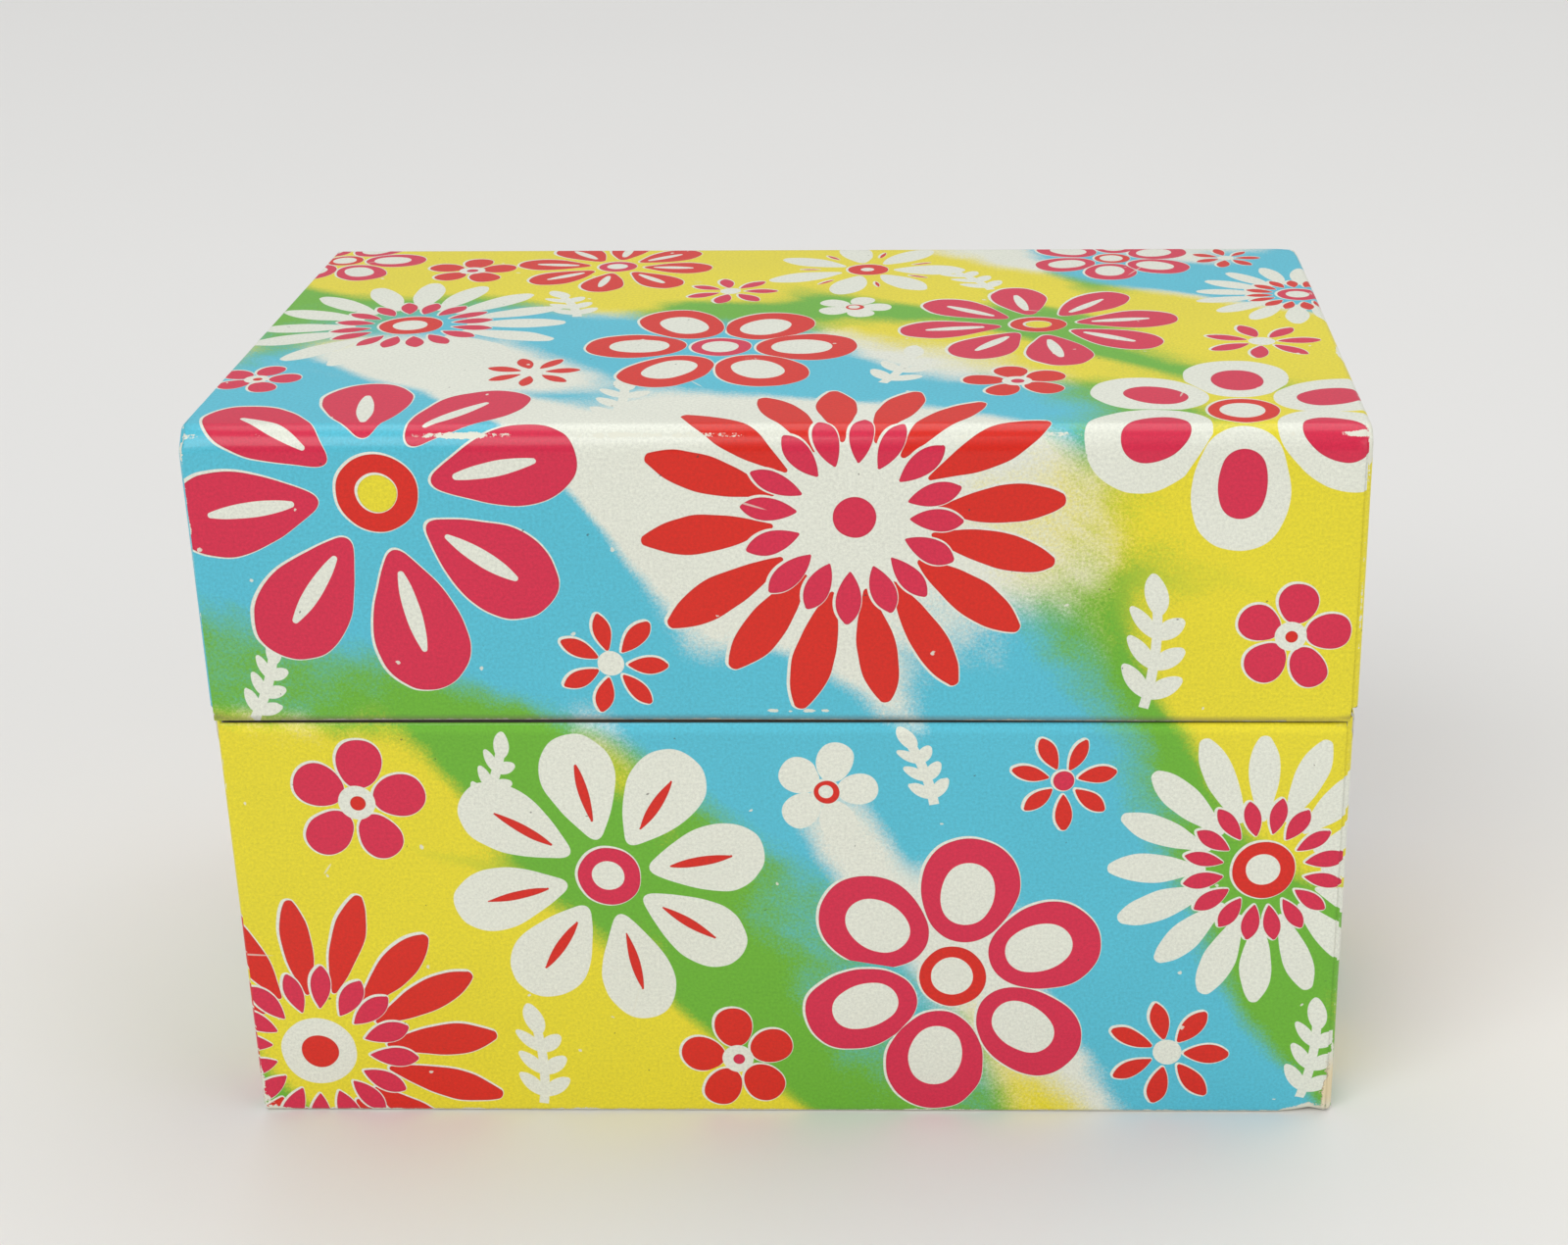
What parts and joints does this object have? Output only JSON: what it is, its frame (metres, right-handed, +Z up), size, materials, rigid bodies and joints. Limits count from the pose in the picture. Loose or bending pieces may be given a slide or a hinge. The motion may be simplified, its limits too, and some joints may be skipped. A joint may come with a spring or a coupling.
{
  "type": "recipe card box",
  "caption": "Hinged tinplate box for index cards, with a deep-fronted lid on a slanted side seam, printed with retro flowers.",
  "frame": {"origin": "middle of the base's flat underside, on the surface it stands on", "axes": "+Z up, the front faces -Y, the hinges are at +Y, +X is to the right seen from the front"},
  "size_m": [0.137, 0.0841, 0.0915],
  "materials": {
    "base_print": "printed tinplate under gloss varnish",
    "lid_print": "printed tinplate under gloss varnish",
    "hinge_steel": "bright tinned steel, slightly dulled",
    "pin_wire": "drawn steel wire"
  },
  "bodies": {
    "base": {"base_shell": "base_print", "left_hinge_lower_leaf": "hinge_steel", "left_hinge_pin": "pin_wire", "right_hinge_lower_leaf": "hinge_steel", "right_hinge_pin": "pin_wire"},
    "lid": {"lid_shell": "lid_print", "left_hinge_upper_leaf": "hinge_steel", "right_hinge_upper_leaf": "hinge_steel"}
  },
  "joints": [
    {"name": "lid_hinge", "type": "hinge", "parent": "base", "child": "lid", "pos_m": [0, 0.04127, 0.077], "axis": [-1, 0, 0], "range_deg": [0, 110]}
  ]
}
